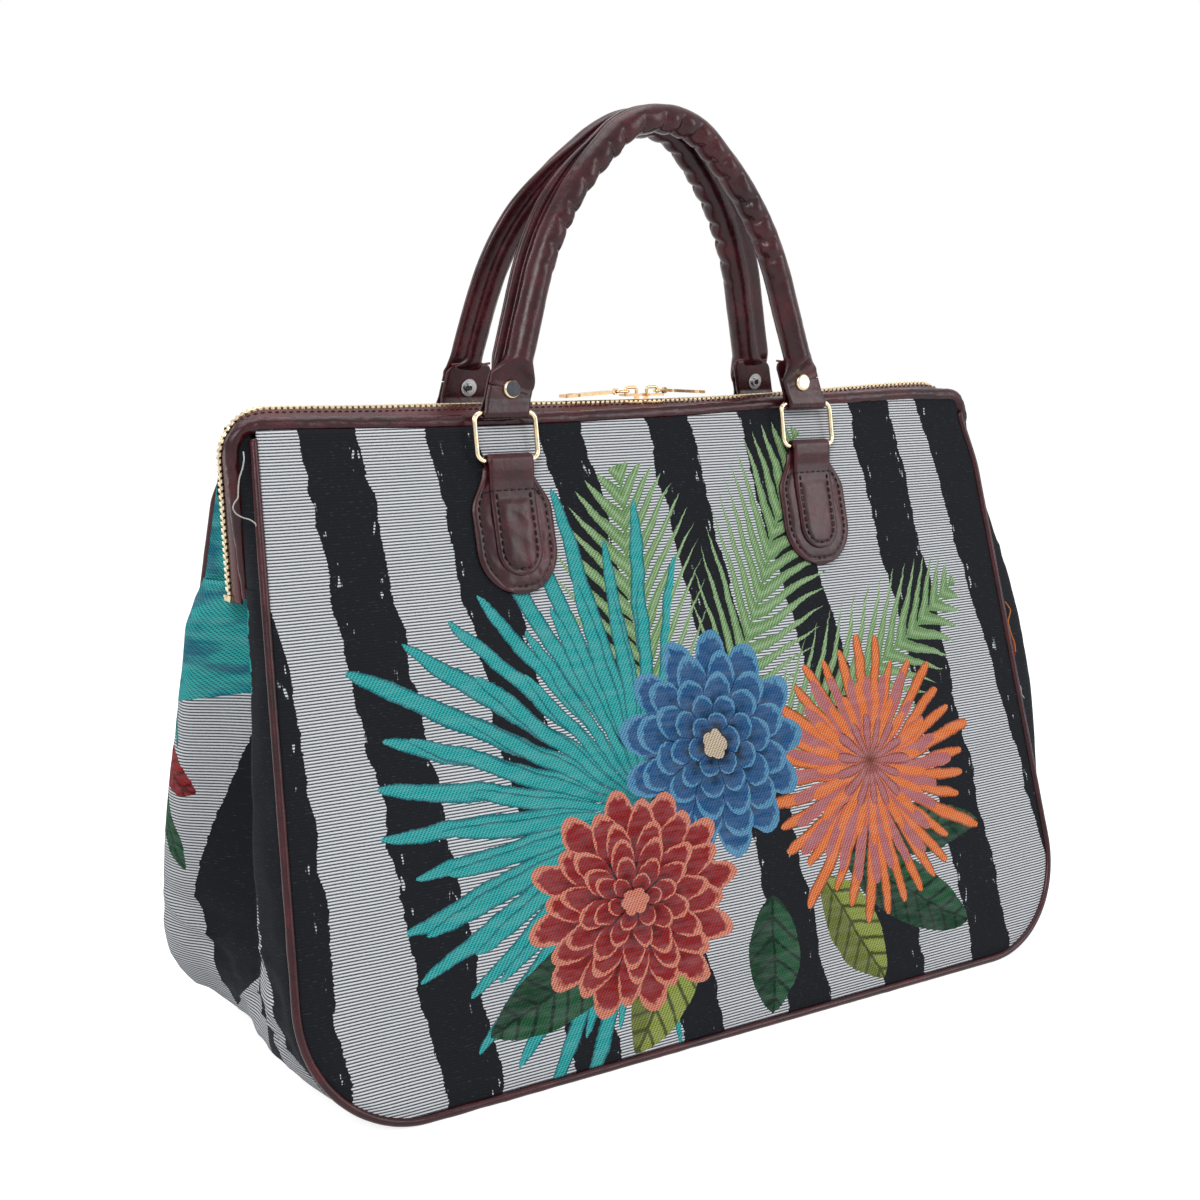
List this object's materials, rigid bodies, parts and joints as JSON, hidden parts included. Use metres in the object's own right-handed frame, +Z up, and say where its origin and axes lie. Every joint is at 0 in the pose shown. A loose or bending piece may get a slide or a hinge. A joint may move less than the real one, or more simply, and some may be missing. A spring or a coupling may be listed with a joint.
{
  "type": "carpet bag",
  "caption": "Soft weekender bag of tapestry fabric with a framed zip mouth, pleated sides, piped edges and rolled handles held by rings and tabs.",
  "frame": {"origin": "On the floor under the middle of the base.", "axes": "+Z up, +X along the width to the right as seen from the front, -Y to the front panel."},
  "size_m": [0.5006, 0.193, 0.4841],
  "materials": {
    "front_panel": "woven",
    "back_panel": "woven",
    "gusset": "woven",
    "front_piping": "glossy leatherette",
    "back_piping": "glossy leatherette",
    "lining": "woven",
    "base_board": "matte board",
    "front_rim_cover": "glossy leatherette",
    "back_rim_cover": "glossy leatherette",
    "front_frame_wire": "plain wire",
    "back_frame_wire": "plain wire",
    "front_zip_tape": "woven",
    "back_zip_tape": "woven",
    "front_zip_teeth": "polished",
    "back_zip_teeth": "polished",
    "zip_end_stops": "polished",
    "left_slider": "polished",
    "left_link": "polished",
    "left_pull": "polished",
    "right_slider": "polished",
    "right_link": "polished",
    "right_pull": "polished",
    "front_left_tab": "glossy leatherette",
    "front_left_ring": "polished",
    "front_right_tab": "glossy leatherette",
    "front_right_ring": "polished",
    "front_handle_cover": "glossy leatherette",
    "front_handle_core": "woven",
    "front_handle_rivets": "polished",
    "back_left_tab": "glossy leatherette",
    "back_left_ring": "polished",
    "back_right_tab": "glossy leatherette",
    "back_right_ring": "polished",
    "back_handle_cover": "glossy leatherette",
    "back_handle_core": "woven",
    "back_handle_rivets": "polished"
  },
  "bodies": {
    "bag": {"front_panel": "front_panel", "back_panel": "back_panel", "gusset": "gusset", "front_piping": "front_piping", "back_piping": "back_piping", "lining": "lining", "base_board": "base_board", "front_rim_cover": "front_rim_cover", "back_rim_cover": "back_rim_cover", "front_frame_wire": "front_frame_wire", "back_frame_wire": "back_frame_wire", "front_zip_tape": "front_zip_tape", "back_zip_tape": "back_zip_tape", "front_zip_teeth": "front_zip_teeth", "back_zip_teeth": "back_zip_teeth", "zip_end_stops": "zip_end_stops", "front_left_tab": "front_left_tab", "front_right_tab": "front_right_tab", "back_left_tab": "back_left_tab", "back_right_tab": "back_right_tab"},
    "front_left_ring": {"front_left_ring": "front_left_ring"},
    "front_right_ring": {"front_right_ring": "front_right_ring"},
    "front_handle": {"front_handle_cover": "front_handle_cover", "front_handle_core": "front_handle_core", "front_handle_rivets": "front_handle_rivets"},
    "back_left_ring": {"back_left_ring": "back_left_ring"},
    "back_right_ring": {"back_right_ring": "back_right_ring"},
    "back_handle": {"back_handle_cover": "back_handle_cover", "back_handle_core": "back_handle_core", "back_handle_rivets": "back_handle_rivets"},
    "left_slider": {"left_slider": "left_slider"},
    "left_link": {"left_link": "left_link"},
    "left_pull": {"left_pull": "left_pull"},
    "right_slider": {"right_slider": "right_slider"},
    "right_link": {"right_link": "right_link"},
    "right_pull": {"right_pull": "right_pull"}
  },
  "joints": [
    {"name": "front_left_ring_hinge", "type": "hinge", "parent": "bag", "child": "front_left_ring", "pos_m": [-0.099, -0.0257, 0.29959], "axis": [1, 0, 0], "range_deg": [0, 100]},
    {"name": "front_right_ring_hinge", "type": "hinge", "parent": "bag", "child": "front_right_ring", "pos_m": [0.099, -0.0257, 0.29959], "axis": [1, 0, 0], "range_deg": [0, 100]},
    {"name": "front_handle_hinge", "type": "hinge", "parent": "front_left_ring", "child": "front_handle", "pos_m": [-0.099, -0.02202, 0.3228], "axis": [1, 0, 0], "range_deg": [0, 65]},
    {"name": "back_left_ring_hinge", "type": "hinge", "parent": "bag", "child": "back_left_ring", "pos_m": [-0.099, 0.0257, 0.29959], "axis": [-1, 0, 0], "range_deg": [0, 100]},
    {"name": "back_right_ring_hinge", "type": "hinge", "parent": "bag", "child": "back_right_ring", "pos_m": [0.099, 0.0257, 0.29959], "axis": [-1, 0, 0], "range_deg": [0, 100]},
    {"name": "back_handle_hinge", "type": "hinge", "parent": "back_left_ring", "child": "back_handle", "pos_m": [-0.099, 0.02202, 0.3228], "axis": [-1, 0, 0], "range_deg": [0, 65]},
    {"name": "left_slider_slide", "type": "slide", "parent": "bag", "child": "left_slider", "axis": [-1, 0, 0], "range_m": [0, 0.19], "deforming": ["front_zip_teeth", "back_zip_teeth"]},
    {"name": "left_link_swivel", "type": "hinge", "parent": "left_slider", "child": "left_link", "pos_m": [-0.009, 0, 0.33085], "axis": [0, 0, 1], "range_deg": [-60, 60]},
    {"name": "left_pull_hinge", "type": "hinge", "parent": "left_link", "child": "left_pull", "pos_m": [-0.01545, 0, 0.33085], "axis": [0, 1, 0], "range_deg": [0, 100]},
    {"name": "right_slider_slide", "type": "slide", "parent": "bag", "child": "right_slider", "axis": [1, 0, 0], "range_m": [0, 0.19], "deforming": ["front_zip_teeth", "back_zip_teeth"]},
    {"name": "right_link_swivel", "type": "hinge", "parent": "right_slider", "child": "right_link", "pos_m": [0.0122, 0, 0.33085], "axis": [0, 0, 1], "range_deg": [-77, 43]},
    {"name": "right_pull_hinge", "type": "hinge", "parent": "right_link", "child": "right_pull", "pos_m": [0.01837, 0.00189, 0.33085], "axis": [0.2924, -0.9563, 0], "range_deg": [0, 100]}
  ],
  "couplings": [
    {"joint": "front_right_ring_hinge", "follows": "front_left_ring_hinge", "ratio": 1},
    {"joint": "back_right_ring_hinge", "follows": "back_left_ring_hinge", "ratio": 1}
  ]
}
